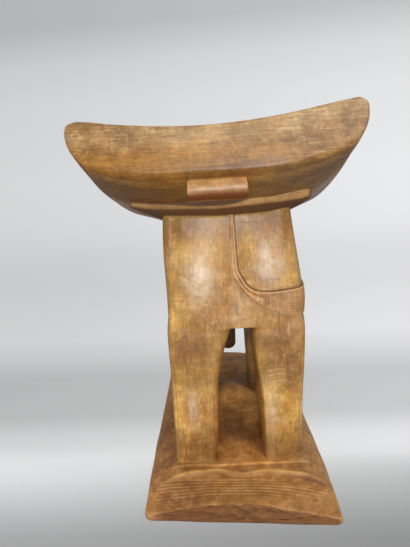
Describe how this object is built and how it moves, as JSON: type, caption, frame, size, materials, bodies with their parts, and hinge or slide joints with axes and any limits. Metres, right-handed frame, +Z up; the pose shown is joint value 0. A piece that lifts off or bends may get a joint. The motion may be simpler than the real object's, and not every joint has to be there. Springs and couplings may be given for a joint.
{
  "type": "elephant stool",
  "caption": "Low stool carved in the Asante style: a curved seat carried on the back of a standing elephant on a grooved base.",
  "frame": {"origin": "middle of the base's underside, which is the bottom centre of the whole stool", "axes": "+Z up; +Y along the seat from the elephant's tail to its head; +X to the right as seen from the tail"},
  "size_m": [0.262, 0.525, 0.4366],
  "materials": {
    "honey_wood": "satin",
    "brown_wood": "satin",
    "pale_wood": "satin"
  },
  "bodies": {
    "root": {"seat": "honey_wood", "seat_panel": "honey_wood", "lug_rear": "honey_wood", "lug_front": "honey_wood", "body": "honey_wood", "head": "honey_wood", "trunk": "honey_wood", "leg_hind_left": "honey_wood", "leg_hind_right": "honey_wood", "leg_fore_left": "honey_wood", "leg_fore_right": "honey_wood", "ear_left": "honey_wood", "ear_right": "honey_wood", "tusk_left": "pale_wood", "tusk_right": "pale_wood", "tail": "honey_wood", "tail_tuft": "honey_wood", "base_tier": "brown_wood", "base_plate": "brown_wood"}
  },
  "joints": []
}
